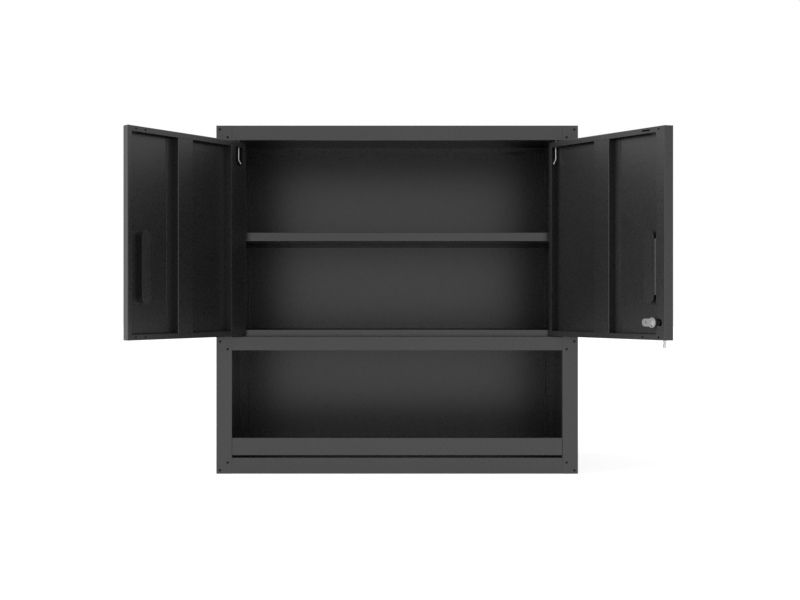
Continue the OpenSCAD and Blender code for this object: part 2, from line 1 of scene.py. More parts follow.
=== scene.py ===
"""Looks of a folded sheet-steel tool cabinet with two doors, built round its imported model.

Everything is in metres in the cabinet's own frame: X to the right, Y from front to back, Z up,
with the origin at the middle of the base. Both doors stand open.
"""
import json
import math

import bmesh
import bpy
from mathutils import Matrix, Vector


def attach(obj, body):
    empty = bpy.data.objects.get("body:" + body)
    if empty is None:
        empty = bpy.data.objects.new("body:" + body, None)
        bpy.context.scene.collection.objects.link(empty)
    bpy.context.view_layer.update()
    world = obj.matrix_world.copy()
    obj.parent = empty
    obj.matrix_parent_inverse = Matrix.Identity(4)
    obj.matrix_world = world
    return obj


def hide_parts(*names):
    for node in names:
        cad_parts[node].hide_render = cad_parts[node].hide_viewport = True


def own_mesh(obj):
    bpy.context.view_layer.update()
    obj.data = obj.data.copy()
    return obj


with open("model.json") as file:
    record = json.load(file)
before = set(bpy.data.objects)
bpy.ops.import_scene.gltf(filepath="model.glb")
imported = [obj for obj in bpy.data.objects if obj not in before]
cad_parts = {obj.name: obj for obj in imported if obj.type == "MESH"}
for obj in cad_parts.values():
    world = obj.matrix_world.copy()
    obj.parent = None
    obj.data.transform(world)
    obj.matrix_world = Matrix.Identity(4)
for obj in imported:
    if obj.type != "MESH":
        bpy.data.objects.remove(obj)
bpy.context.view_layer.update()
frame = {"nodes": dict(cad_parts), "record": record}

MM = 0.001
NODES = frame["nodes"]
BODY_OF = {n: b for b, members in frame["record"]["behaviour"]["bodies"].items() for n in members}
SLOT_OF = {s["node"]: s["material_slot"] for s in frame["record"]["subparts"]}

# ---------------------------------------------------------------- materials


def shader(name):
    """A new material, its node tree and its Principled shader."""
    mat = bpy.data.materials.new(name)
    mat.use_nodes = True
    tree = mat.node_tree
    return mat, tree, tree.nodes["Principled BSDF"]


def object_noise(tree, scale, detail=2.0, stretch=None):
    """A noise on Object coordinates; scale is features per metre."""
    coord = tree.nodes.new("ShaderNodeTexCoord")
    noise = tree.nodes.new("ShaderNodeTexNoise")
    noise.inputs["Scale"].default_value = scale
    noise.inputs["Detail"].default_value = detail
    source = coord.outputs["Object"]
    if stretch:
        mapping = tree.nodes.new("ShaderNodeMapping")
        mapping.inputs["Scale"].default_value = stretch
        tree.links.new(source, mapping.inputs["Vector"])
        source = mapping.outputs["Vector"]
    tree.links.new(source, noise.inputs["Vector"])
    return noise.outputs["Fac"]


def spread(tree, fac, low, high, start=0.3, end=0.7):
    """Maps a range of a value, as a rule the middle of a noise, to low..high."""
    span = tree.nodes.new("ShaderNodeMapRange")
    span.inputs["From Min"].default_value = start
    span.inputs["From Max"].default_value = end
    span.inputs["To Min"].default_value = low
    span.inputs["To Max"].default_value = high
    tree.links.new(fac, span.inputs["Value"])
    return span.outputs["Result"]


def tint(tree, fac, dark, light):
    """A colour between two, by a noise."""
    ramp = tree.nodes.new("ShaderNodeValToRGB")
    ramp.color_ramp.elements[0].position = 0.3
    ramp.color_ramp.elements[1].position = 0.7
    ramp.color_ramp.elements[0].color = (*dark, 1)
    ramp.color_ramp.elements[1].color = (*light, 1)
    tree.links.new(fac, ramp.inputs["Fac"])
    return ramp.outputs["Color"]


def worn_edges(tree, colour, bare, amount):
    """Shows a little of another colour where the surface is sharpest, broken up by a noise."""
    shape = tree.nodes.new("ShaderNodeNewGeometry")
    edge = spread(tree, shape.outputs["Pointiness"], 0.0, amount, 0.53, 0.62)
    rub = tree.nodes.new("ShaderNodeMath")
    rub.operation = "MULTIPLY"
    tree.links.new(edge, rub.inputs[0])
    tree.links.new(spread(tree, object_noise(tree, 140, 4), 0.2, 1.0), rub.inputs[1])
    mix = tree.nodes.new("ShaderNodeMix")
    mix.data_type = "RGBA"
    tree.links.new(rub.outputs[0], mix.inputs["Factor"])
    tree.links.new(colour, mix.inputs["A"])
    mix.inputs["B"].default_value = (*bare, 1)
    return mix.outputs["Result"]


def relief(tree, bsdf, height, depth, strength=1.0):
    """Bump from a height; depth is in metres."""
    bump = tree.nodes.new("ShaderNodeBump")
    bump.inputs["Strength"].default_value = strength
    bump.inputs["Distance"].default_value = depth
    tree.links.new(height, bump.inputs["Height"])
    tree.links.new(bump.outputs["Normal"], bsdf.inputs["Normal"])


def powder_coat(name, grey, gloss, rough=0.3):
    """Charcoal powder coat: a fine orange peel, and hardly any change of tone over a panel."""
    mat, tree, bsdf = shader(name)
    bsdf.inputs["Specular IOR Level"].default_value = gloss
    dark = tuple(0.9 * g for g in grey)
    light = tuple(1.1 * g for g in grey)
    coat = tint(tree, object_noise(tree, 9, 4), dark, light)
    rubbed = tuple(2.0 * g for g in grey)
    tree.links.new(worn_edges(tree, coat, rubbed, 0.6), bsdf.inputs["Base Color"])
    tree.links.new(spread(tree, object_noise(tree, 260, 3), rough - 0.05, rough + 0.05),
                   bsdf.inputs["Roughness"])
    relief(tree, bsdf, object_noise(tree, 900, 2), 0.05 * MM)
    return mat


def drawn_metal(name, grey, rough, stretch=(1, 1, 0.06)):
    """Plated metal with fine marks along one direction."""
    mat, tree, bsdf = shader(name)
    bsdf.inputs["Metallic"].default_value = 1.0
    dark = tuple(0.86 * g for g in grey)
    light = tuple(1.1 * g for g in grey)
    marks = object_noise(tree, 1800, 3, stretch)
    plated = tint(tree, marks, dark, light)
    rubbed = tuple(min(1.3 * g, 0.9) for g in grey)
    tree.links.new(worn_edges(tree, plated, rubbed, 0.5), bsdf.inputs["Base Color"])
    tree.links.new(spread(tree, marks, rough - 0.07, rough + 0.07), bsdf.inputs["Roughness"])
    relief(tree, bsdf, marks, 0.02 * MM)
    return mat


def moulded(name, grey, rough, gloss=0.5):
    """Moulded plastic or blackened steel with a fine grain."""
    mat, tree, bsdf = shader(name)
    bsdf.inputs["Specular IOR Level"].default_value = gloss
    dark = tuple(0.9 * g for g in grey)
    light = tuple(1.1 * g for g in grey)
    body = tint(tree, object_noise(tree, 60, 3), dark, light)
    rubbed = tuple(2.0 * g for g in grey)
    tree.links.new(worn_edges(tree, body, rubbed, 0.5), bsdf.inputs["Base Color"])
    tree.links.new(spread(tree, object_noise(tree, 500, 3), rough - 0.06, rough + 0.06),
                   bsdf.inputs["Roughness"])
    relief(tree, bsdf, object_noise(tree, 2200, 2), 0.03 * MM)
    return mat


FINISHES = {
    "frame_paint": powder_coat("charcoal_coat_frame", (0.023, 0.023, 0.023), gloss=0.77),
    "door_paint": powder_coat("charcoal_coat_doors", (0.023, 0.023, 0.023), gloss=0.67),
    "handle_plastic": moulded("cup_plastic", (0.02, 0.02, 0.02), 0.3, 0.9),
    "corner_screw": moulded("blackened_screw", (0.012, 0.012, 0.012), 0.4, 0.2),
    "dark_screw": moulded("dark_zinc_screw", (0.02, 0.02, 0.02), 0.4),
    "zinc_bracket": drawn_metal("zinc_bracket_metal", (0.2, 0.2, 0.2), 0.45),
    "bush_nylon": moulded("black_nylon", (0.02, 0.02, 0.02), 0.4),
    "bolt_steel": drawn_metal("bright_wire", (0.6, 0.6, 0.61), 0.3),
    "lock_nickel": drawn_metal("lock_plate", (0.68, 0.67, 0.66), 0.35, (1, 1, 1)),
    "key_nickel": drawn_metal("key_plate", (0.6, 0.59, 0.57), 0.28, (1, 1, 1)),
}
# The lock barrel's threaded body in near-black metal: painted shade, standing in for the shadow seen
# through the flange's notch round the barrel.
THREAD_PAINTED_SHADE = drawn_metal("lock_thread_painted_shade", (0.06, 0.06, 0.06), 0.5, (1, 1, 1))


def dress(obj, slot):
    """One material over a whole piece."""
    obj.data.materials.clear()
    obj.data.materials.append(FINISHES[slot])


for node, obj in NODES.items():
    dress(obj, SLOT_OF[node])


def fitted(mesh, node, name):
    """An object for a finished mesh, with a node's finish and motion."""
    mesh.name = name
    piece = bpy.data.objects.new(mesh.name, mesh)
    bpy.context.scene.collection.objects.link(piece)
    dress(piece, SLOT_OF[node])
    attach(piece, BODY_OF[node])
    return piece


def stand_in(mesh, node):
    """An object for a finished mesh, which takes a node's place, finish and motion."""
    piece = fitted(mesh, node, node + "_formed")
    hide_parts(node)
    return piece


def evened(piece):
    """Smooth faces that stay flat between their rounded edges."""
    even = piece.modifiers.new("even_faces", "WEIGHTED_NORMAL")
    even.keep_sharp = True
    even.weight = 100


# ---------------------------------------------------------------- folded sheets and small machined parts

SAME_PLACE = 0.002 * MM
SAME_PLANE = math.radians(0.5)
FOLD = 1.3 * MM
RIM = 0.3 * MM
RIM_FACE = 1.6 * MM
CREASE = math.radians(30)
SHORTEST = 6 * MM
LEVEL = math.radians(1)
LEVEL_DOT = math.cos(math.radians(0.6))


def narrow(face, edge):
    """Whether a face is a cut edge of the sheet: thin, measured square to the given edge."""
    along = (edge.verts[1].co - edge.verts[0].co).normalized()
    across = face.normal.cross(along)
    reach = [(v.co - edge.verts[0].co).dot(across) for v in face.verts]
    return max(reach) - min(reach) < RIM_FACE


def level_faces(work):
    """The directions of a part's plane faces; a face that curves on into a neighbour isn't one."""
    directions = []
    for face in work.faces:
        angles = [e.calc_face_angle(0) for e in face.edges if len(e.link_faces) == 2]
        if any(LEVEL < a < CREASE for a in angles):
            continue
        if all(face.normal.dot(d) < LEVEL_DOT for d in directions):
            directions.append(face.normal.copy())
    return directions


def formed(node, fold=FOLD, rim=RIM, shortest=SHORTEST):
    """A copy of a node with rounded folds and eased cut edges, in place of the node."""
    mesh = NODES[node].data.copy()
    work = bmesh.new()
    work.from_mesh(mesh)
    bmesh.ops.remove_doubles(work, verts=work.verts, dist=SAME_PLACE)
    bmesh.ops.dissolve_limit(work, angle_limit=SAME_PLANE, verts=work.verts, edges=work.edges)
    many_sided = [f for f in work.faces if len(f.verts) > 4]
    bmesh.ops.triangulate(work, faces=many_sided)
    directions = level_faces(work)
    weight = work.edges.layers.float.new("bevel_weight_edge")
    for edge in work.edges:
        if len(edge.link_faces) != 2 or edge.calc_face_angle(0) < CREASE:
            continue
        if edge.is_convex and edge.calc_length() > shortest:
            edge[weight] = rim / fold if any(narrow(f, edge) for f in edge.link_faces) else 1.0
        else:
            edge.smooth = False
    work.to_mesh(mesh)
    work.free()
    holder = bpy.data.objects.new("eased", mesh)
    bpy.context.scene.collection.objects.link(holder)
    bevel = holder.modifiers.new("eased", "BEVEL")
    bevel.limit_method = "WEIGHT"
    bevel.width = fold
    bevel.segments = 3
    bevel.use_clamp_overlap = False
    depsgraph = bpy.context.evaluated_depsgraph_get()
    eased = bpy.data.meshes.new_from_object(holder.evaluated_get(depsgraph), depsgraph=depsgraph)
    bpy.data.objects.remove(holder)
    for face in eased.polygons:
        face.use_smooth = all(face.normal.dot(d) < LEVEL_DOT for d in directions)
    return stand_in(eased, node)


SHEETS = ["left_side_panel", "right_side_panel", "top_panel", "bottom_panel", "floor_stiffener",
          "back_panel", "middle_rail", "retaining_bar", "upper_shelf", "divider_shelf",
          "shelf_brackets", "divider_brackets",
          "left_door_panel", "right_door_panel", "left_door_stiffener", "right_door_stiffener",
          "left_hinge_plate"]
for node in SHEETS:
    formed(node)

MACHINED = ["left_bolt_bracket", "right_bolt_bracket", "left_lower_pivot", "right_lower_pivot",
            "upper_hinge_bushes", "lower_hinge_bushes", "barrel_nut", "lock_plug", "lock_cam", "cam_nut"]
MACHINED_EDGE = 0.2 * MM
for node in MACHINED:
    formed(node, MACHINED_EDGE, MACHINED_EDGE, 0.15 * MM)

# ---------------------------------------------------------------- places on the doors, in millimetres

PIVOT_X = 351.5
PIVOT_D = 7.0
FRONT_MM = -220.0
DOOR_OPEN = {"left": 122.9, "right": 123.5}


def door_place(side):
    """From a door's own millimetres (along it from the pivot, behind its pivot, up) to metres."""
    sign = -1 if side == "left" else 1
    place = Matrix.Translation((sign * PIVOT_X, FRONT_MM + PIVOT_D, 0))
    turn = Matrix.Rotation(math.radians(sign * DOOR_OPEN[side]), 4, "Z")
    flip = Matrix.Scale(-1, 4, (1, 0, 0)) if side == "right" else Matrix.Identity(4)
    return Matrix.Scale(MM, 4) @ place @ turn @ flip


def through_door(s, z):
    """From a turned part's own frame, Z into the door from its outer face, to a door's millimetres."""
    return Matrix(((1, 0, 0, s), (0, 0, 1, -PIVOT_D), (0, 1, 0, z), (0, 0, 0, 1)))


def settle(mesh, matrix):
    """Puts a mesh in its place, with its faces still outwards."""
    mesh.transform(matrix)
    if matrix.determinant() < 0:
        mesh.flip_normals()
    return mesh


def mesh_from(work, smooth_below=35):
    """A mesh from a bmesh, with outward faces and its corners kept sharp."""
    bmesh.ops.recalc_face_normals(work, faces=work.faces)
    for edge in work.edges:
        edge.smooth = edge.calc_face_angle(0) < math.radians(smooth_below)
    mesh = bpy.data.meshes.new("made")
    work.to_mesh(mesh)
    work.free()
    for face in mesh.polygons:
        face.use_smooth = True
    return mesh


def joined(meshes):
    """Several meshes as one."""
    work = bmesh.new()
    for mesh in meshes:
        work.from_mesh(mesh)
        bpy.data.meshes.remove(mesh)
    whole = bpy.data.meshes.new("whole")
    work.to_mesh(whole)
    work.free()
    return whole


def skin(work, rings, closed=False):
    """Faces between rings of points; closed joins the last ring to the first."""
    loops = [[work.verts.new(p) for p in ring] for ring in rings]
    pairs = list(zip(loops, loops[1:] + loops[:1])) if closed else list(zip(loops, loops[1:]))
    for low, high in pairs:
        for i in range(len(low)):
            j = (i + 1) % len(low)
            work.faces.new((low[i], low[j], high[j], high[i]))
    if not closed:
        work.faces.new(loops[0])
        work.faces.new(loops[-1])


def turned(profile, closed=False, sides=48):
    """A turned part from (radius, height) points, in millimetres."""
    work = bmesh.new()
    rings = [[(r * math.cos(2 * math.pi * k / sides), r * math.sin(2 * math.pi * k / sides), h)
              for k in range(sides)] for r, h in profile]
    skin(work, rings, closed)
    return mesh_from(work)


def wire(path, radius, sides=20):
    """A round wire along a path of points, with domed ends."""
    points = [Vector(p) for p in path]
    first = (points[1] - points[0]).normalized()
    last = (points[-1] - points[-2]).normalized()
    stations = []
    for k in range(5):
        a = math.pi / 2 * k / 5
        stations.append((points[0] - first * radius * math.cos(a), first, radius * max(math.sin(a), 0.05)))
    for i, p in enumerate(points):
        ahead = points[min(i + 1, len(points) - 1)] - points[max(i - 1, 0)]
        stations.append((p, ahead.normalized(), radius))
    for k in range(1, 6):
        a = math.pi / 2 * k / 5
        stations.append((points[-1] + last * radius * math.sin(a), last, radius * max(math.cos(a), 0.05)))
    work = bmesh.new()
    rings = []
    side = Vector((1, 0, 0))
    for centre, ahead, r in stations:
        side = (side - ahead * side.dot(ahead)).normalized()
        up = ahead.cross(side)
        rings.append([centre + r * (math.cos(2 * math.pi * k / sides) * side
                                    + math.sin(2 * math.pi * k / sides) * up) for k in range(sides)])
    skin(work, rings)
    return mesh_from(work, 60)


# ---------------------------------------------------------------- hinge plate's inner wall

PLATE_Z = (316.1, 722.0)
PLATE_WALL = [(33.0, 18.02), (36.42, 18.02), (36.92, 17.92), (37.34, 17.64), (37.62, 17.22), (37.72, 16.72),
              (37.72, 1.1), (36.72, 1.1), (36.72, 16.6), (36.3, 17.0), (33.0, 17.0)]


def hinge_plate_wall():
    """The wall folded down from the left hinge plate's long edge to the door's skin."""
    work = bmesh.new()
    skin(work, [[(s, t - PIVOT_D, z) for s, t in PLATE_WALL] for z in PLATE_Z])
    fitted(settle(mesh_from(work, 29), door_place("left")), "left_hinge_plate", "left_hinge_plate_wall")


hinge_plate_wall()

# ---------------------------------------------------------------- handle cups

CUP_MIDDLE_S = 298.25
CUP_MIDDLE_Z = 452.0
CUP_STRAIGHT = 59.25
CUP_SHELL = [(13.85, -1.0), (17.3, -1.0), (17.62, -0.85), (17.75, -0.5), (17.75, -0.05), (14.75, 0.0),
             (14.75, 16.2), (14.65, 16.5), (14.35, 16.6)]
CUP_HOLLOW = [(13.5, -0.9), (13.3, -0.6), (13.25, 0.0), (13.25, 13.2), (13.1, 14.0), (12.6, 14.7),
              (11.9, 15.05), (11.0, 15.1)]
RAMP = [(12.0, 16.6), (17.9, 16.6), (18.6, 16.3), (31.8, 3.1), (32.3, 1.2), (12.0, 1.2)]
RAMP_HALF = 57.5


def upright_ring(half, t, steps=14):
    """A round-ended upright outline of a half width, at a depth behind the door's face."""
    ring = []
    for top in (1, -1):
        for k in range(steps + 1):
            a = math.pi * k / steps + (0 if top > 0 else math.pi)
            ring.append((half * math.cos(a), t, top * CUP_STRAIGHT + half * math.sin(a)))
    return ring


def handle_cup(side, ramp_to):
    """A recessed pull: a lip on the door's face, a hollow, and a shell behind with a sloping ramp."""
    work = bmesh.new()
    hollow = [upright_ring(r, t) for r, t in reversed(CUP_HOLLOW)]
    shell = [upright_ring(r, t) for r, t in CUP_SHELL]
    skin(work, hollow + shell)
    body = mesh_from(work, 50)
    work = bmesh.new()
    sections = [(-RAMP_HALF, 0.9), (-RAMP_HALF + 1.2, 1.0), (RAMP_HALF - 1.2, 1.0), (RAMP_HALF, 0.9)]
    rings = []
    for z, grow in sections:
        rings.append([(ramp_to * (12 + grow * (x - 12)), 1.2 + grow * (t - 1.2), z) for x, t in RAMP])
    skin(work, rings)
    ramp = mesh_from(work, 25)
    mesh = joined([body, ramp])
    node = side + "_handle_cup"
    lift = Matrix.Translation((CUP_MIDDLE_S, -PIVOT_D, CUP_MIDDLE_Z))
    evened(stand_in(settle(mesh, door_place(side) @ lift), node))


handle_cup("left", -1)
handle_cup("right", 1)

# ---------------------------------------------------------------- repeated parts, grown by Geometry Nodes


def growth_tree(name, sizes):
    """An empty node tree with named size inputs; returns it with its input and output nodes."""
    tree = bpy.data.node_groups.new(name, "GeometryNodeTree")
    tree.interface.new_socket("Places", in_out="INPUT", socket_type="NodeSocketGeometry")
    for label, value in sizes.items():
        socket = tree.interface.new_socket(label, in_out="INPUT", socket_type="NodeSocketFloat")
        socket.default_value = value
    tree.interface.new_socket("Finish", in_out="INPUT", socket_type="NodeSocketMaterial")
    tree.interface.new_socket("Grown", in_out="OUTPUT", socket_type="NodeSocketGeometry")
    given = tree.nodes.new("NodeGroupInput")
    out = tree.nodes.new("NodeGroupOutput")
    return tree, given, out


def finish_tree(tree, given, out, grown):
    """Ends a tree in Realize Instances and Set Material."""
    real = tree.nodes.new("GeometryNodeRealizeInstances")
    clad = tree.nodes.new("GeometryNodeSetMaterial")
    tree.links.new(grown, real.inputs["Geometry"])
    tree.links.new(real.outputs["Geometry"], clad.inputs["Geometry"])
    tree.links.new(given.outputs["Finish"], clad.inputs["Material"])
    tree.links.new(clad.outputs["Geometry"], out.inputs["Grown"])
    return tree


def lifted(tree, geometry, height):
    """Moves a part of a tree along Z by a size."""
    combine = tree.nodes.new("ShaderNodeCombineXYZ")
    move = tree.nodes.new("GeometryNodeTransform")
    tree.links.new(height, combine.inputs["Z"])
    tree.links.new(geometry, move.inputs["Geometry"])
    tree.links.new(combine.outputs["Vector"], move.inputs["Translation"])
    return move.outputs["Geometry"]


def reckoned(tree, operation, first, second):
    """A Math node on a socket and a socket or number."""
    node = tree.nodes.new("ShaderNodeMath")
    node.operation = operation
    for socket, value in zip(node.inputs, (first, second)):
        if isinstance(value, (int, float)):
            socket.default_value = value
        else:
            tree.links.new(value, socket)
    return node.outputs[0]


def cone(tree, sides, low, high, depth):
    """A cone or cylinder from sockets or numbers, standing on its origin."""
    node = tree.nodes.new("GeometryNodeMeshCone")
    node.inputs["Vertices"].default_value = sides
    for label, value in (("Radius Bottom", low), ("Radius Top", high), ("Depth", depth)):
        if isinstance(value, (int, float)):
            node.inputs[label].default_value = value
        else:
            tree.links.new(value, node.inputs[label])
    return node.outputs["Mesh"]


def screw_tree():
    """Screws on points: a two-step head with a six-sided socket over a round shank."""
    tree, given, out = growth_tree("screws", {"Head radius": 4.2, "Head height": 1.6, "Socket radius": 1.6,
                                              "Socket depth": 1.0, "Shank radius": 2.0, "Shank length": 6.0,
                                              "Crown": 0.8})
    size = given.outputs
    low_part = reckoned(tree, "MULTIPLY", size["Head height"], 0.55)
    high_part = reckoned(tree, "MULTIPLY", size["Head height"], 0.45)
    crown = reckoned(tree, "MULTIPLY", size["Head radius"], size["Crown"])
    rim = cone(tree, 32, size["Head radius"], size["Head radius"], low_part)
    dome = lifted(tree, cone(tree, 32, size["Head radius"], crown, high_part), low_part)
    shank = cone(tree, 20, size["Shank radius"], size["Shank radius"], size["Shank length"])
    below = reckoned(tree, "MULTIPLY", size["Shank length"], -1.0)
    shank = lifted(tree, shank, reckoned(tree, "ADD", below, 0.02))
    whole = tree.nodes.new("GeometryNodeMeshBoolean")
    whole.operation = "UNION"
    for part in (rim, dome, shank):
        tree.links.new(part, whole.inputs["Mesh 2"])
    over_head = reckoned(tree, "ADD", size["Socket depth"], 1.0)
    socket = cone(tree, 6, size["Socket radius"], size["Socket radius"], over_head)
    floor = reckoned(tree, "SUBTRACT", size["Head height"], size["Socket depth"])
    cut = tree.nodes.new("GeometryNodeMeshBoolean")
    cut.operation = "DIFFERENCE"
    tree.links.new(whole.outputs["Mesh"], cut.inputs["Mesh 1"])
    tree.links.new(lifted(tree, socket, floor), cut.inputs["Mesh 2"])
    turn = tree.nodes.new("FunctionNodeRandomValue")
    turn.data_type = "FLOAT_VECTOR"
    turn.inputs[0].default_value = (0, 0, 0)
    turn.inputs[1].default_value = (0, 0, math.pi)
    turn.inputs["Seed"].default_value = 11
    spread_out = tree.nodes.new("GeometryNodeInstanceOnPoints")
    tree.links.new(size["Places"], spread_out.inputs["Points"])
    tree.links.new(cut.outputs["Mesh"], spread_out.inputs["Instance"])
    tree.links.new(turn.outputs[0], spread_out.inputs["Rotation"])
    return finish_tree(tree, given, out, spread_out.outputs["Instances"])


def coil_tree():
    """Wire wound round Z: springs, the split ring, and the ridge of a thread."""
    tree, given, out = growth_tree("wound_wire", {"Coil radius": 2.6, "Turns": 4.0, "Coil height": 6.0,
                                                  "Wire radius": 0.3, "Wire sides": 12.0})
    size = given.outputs
    spiral = tree.nodes.new("GeometryNodeCurveSpiral")
    spiral.inputs["Resolution"].default_value = 48
    tree.links.new(size["Turns"], spiral.inputs["Rotations"])
    tree.links.new(size["Coil radius"], spiral.inputs["Start Radius"])
    tree.links.new(size["Coil radius"], spiral.inputs["End Radius"])
    tree.links.new(size["Coil height"], spiral.inputs["Height"])
    section = tree.nodes.new("GeometryNodeCurvePrimitiveCircle")
    tree.links.new(size["Wire sides"], section.inputs["Resolution"])
    tree.links.new(size["Wire radius"], section.inputs["Radius"])
    drawn = tree.nodes.new("GeometryNodeCurveToMesh")
    drawn.inputs["Fill Caps"].default_value = True
    tree.links.new(spiral.outputs["Curve"], drawn.inputs["Curve"])
    tree.links.new(section.outputs["Curve"], drawn.inputs["Profile Curve"])
    return finish_tree(tree, given, out, drawn.outputs["Mesh"])


def grown(tree, points, sizes, slot, smooth_below=50):
    """The plain mesh that a tree makes at some points, in millimetres."""
    seed_mesh = bpy.data.meshes.new("places")
    seed_mesh.from_pydata(points, [], [])
    holder = bpy.data.objects.new("places", seed_mesh)
    bpy.context.scene.collection.objects.link(holder)
    growth = holder.modifiers.new("growth", "NODES")
    growth.node_group = tree
    for item in tree.interface.items_tree:
        if item.in_out == "INPUT" and item.name in sizes:
            growth[item.identifier] = float(sizes[item.name])
        if item.name == "Finish":
            growth[item.identifier] = FINISHES[slot]
    depsgraph = bpy.context.evaluated_depsgraph_get()
    mesh = bpy.data.meshes.new_from_object(holder.evaluated_get(depsgraph), depsgraph=depsgraph)
    bpy.data.objects.remove(holder)
    work = bmesh.new()
    work.from_mesh(mesh)
    bpy.data.meshes.remove(mesh)
    bmesh.ops.remove_doubles(work, verts=work.verts, dist=0.0005)
    return mesh_from(work, smooth_below)


SCREWS = screw_tree()
WOUND = coil_tree()

HALF_W = 400.0
CAB_H = 770.0
SCREW_X = HALF_W - 16.8
SCREW_APART_X = 8.5
SCREW_APART_Z = 8.6
TOP_SCREW_Z = 752.55
MID_SCREW_Z = 284.2
BASE_SCREW_Z = 16.25


def screws_facing(direction, places, sizes, slot):
    """Screws whose heads sit on the given places and look along one direction."""
    turn = Vector(direction).to_track_quat("Z", "Y").to_matrix()
    local = [turn.transposed() @ Vector(p) for p in places]
    mesh = grown(SCREWS, [tuple(p) for p in local], sizes, slot)
    return settle(mesh, Matrix.Scale(MM, 4) @ turn.to_4x4())


def corner_screws():
    """Black countersunk screws, sunk into the stiles at the rails' ends."""
    places = []
    for middle, rise in ((TOP_SCREW_Z, 1), (MID_SCREW_Z, 1), (BASE_SCREW_Z, -1)):
        for side in (-1, 1):
            for out in (-1, 1):
                x = side * (SCREW_X + out * SCREW_APART_X)
                places.append((x, FRONT_MM + 1.0, middle + out * rise * SCREW_APART_Z))
    sizes = {"Head radius": 2.7, "Head height": 0.55, "Socket radius": 1.1, "Socket depth": 0.4,
             "Shank radius": 1.5, "Shank length": 7.0, "Crown": 0.72}
    stand_in(screws_facing((0, -1, 0), places, sizes, "corner_screw"), "corner_screws")


def back_screws():
    """Low-headed screws through the back panel."""
    places = [(side * (HALF_W - 12), 220.0, z) for side in (-1, 1) for z in (60, 280, 490, 710)]
    places += [(x, 220.0, z) for x in (-250, 0, 250) for z in (CAB_H - 14, 17)]
    sizes = {"Head radius": 4.2, "Head height": 1.6, "Socket radius": 1.6, "Socket depth": 1.0,
             "Shank radius": 2.0, "Shank length": 3.5, "Crown": 0.72}
    stand_in(screws_facing((0, 1, 0), places, sizes, "dark_screw"), "back_screws")


BAR_END_X = 364.3
BAR_SCREW_Z = (51.9, 68.6)


def bar_screws():
    """Screws from inside the retaining bar's ends into the stiles."""
    sizes = {"Head radius": 3.2, "Head height": 1.4, "Socket radius": 1.2, "Socket depth": 0.8,
             "Shank radius": 1.5, "Shank length": 9.0, "Crown": 0.72}
    meshes = []
    for side in (-1, 1):
        places = [(side * BAR_END_X, FRONT_MM + 9, z) for z in BAR_SCREW_Z]
        meshes.append(screws_facing((-side, 0, 0), places, sizes, "dark_screw"))
    stand_in(joined(meshes), "bar_screws")


corner_screws()
back_screws()
bar_screws()

# ---------------------------------------------------------------- sliding hinge bolts and their springs

BOLT_R = 1.7
BOLT_TIP_Z = 741.8
BOLT_ELBOW_Z = 694.9
BOLT_TAIL = (6.6, 10.5)
ELBOW_R = 3.0
COLLAR_Z = 731.2
COLLAR_H = 1.5
COLLAR_R = 3.4
SPRING_Z = 722.5
SPRING_R = 2.6
SPRING_WIRE_R = 0.3
SPRING_TURNS = 4
SPRING_STUB = 0.6


def bolt_path():
    """The bolt's middle line: a straight stem over a rounded elbow and a tail for the finger."""
    back, down = BOLT_TAIL
    long = math.hypot(back, down)
    ahead = Vector((0, back / long, -down / long))
    elbow = Vector((0, 0, BOLT_ELBOW_Z))
    path = [Vector((0, 0, BOLT_TIP_Z - BOLT_R)), elbow + Vector((0, 0, ELBOW_R))]
    for k in range(1, 8):
        u = k / 8
        path.append((1 - u) ** 2 * (elbow + Vector((0, 0, ELBOW_R))) + 2 * u * (1 - u) * elbow
                    + u ** 2 * (elbow + ahead * ELBOW_R))
    path.append(elbow + ahead * ELBOW_R)
    path.append(elbow + ahead * (long - BOLT_R))
    return path


def hinge_bolt(side):
    """A bright bent bolt with its collar."""
    rod = wire(bolt_path(), BOLT_R)
    top = COLLAR_Z + COLLAR_H
    collar = turned([(BOLT_R - 0.3, COLLAR_Z), (COLLAR_R - 0.2, COLLAR_Z), (COLLAR_R, COLLAR_Z + 0.2),
                     (COLLAR_R, top - 0.2), (COLLAR_R - 0.2, top), (BOLT_R - 0.3, top)], closed=True)
    stand_in(settle(joined([rod, collar]), door_place(side)), side + "_hinge_bolt")


def bolt_spring(side):
    """The round-wire spring between the bracket and the collar, made at one fixed length; the real one
    shortens as the bolt is drawn.
    """
    coil_h = COLLAR_Z - SPRING_Z - 2 * SPRING_STUB
    coil = grown(WOUND, [(0, 0, 0)], {"Coil radius": SPRING_R, "Turns": SPRING_TURNS, "Coil height": coil_h,
                                      "Wire radius": SPRING_WIRE_R, "Wire sides": 10}, "bolt_steel")
    coil.transform(Matrix.Translation((0, 0, SPRING_Z + SPRING_STUB)))
    piece = stand_in(settle(coil, door_place(side)), side + "_bolt_spring")
    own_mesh(piece)


for side in ("left", "right"):
    hinge_bolt(side)
    bolt_spring(side)

# ---------------------------------------------------------------- lock, keys and ring

LOCK_S = 316.7
LOCK_Z = 339.6
BARREL_R = 8.5
BARREL_CORE_R = 8.05
BARREL_END = 20.0
BARREL_HEAD = -2.0
BORE_R = 5.55
THREAD_PITCH = 1.25
THREAD_START = 1.6
KEY_T = -11.0
BOW_R = 8.5
BOW_HOLE_R = 2.4
KEY_THICK = 2.0
BLADE_HALF = 3.6
RING_R = 10.0
RING_WIRE_R = 0.35
BITTING = [(3.0, 1.0), (6.0, 1.7), (9.0, 0.8), (12.0, 1.5), (15.0, 1.1)]


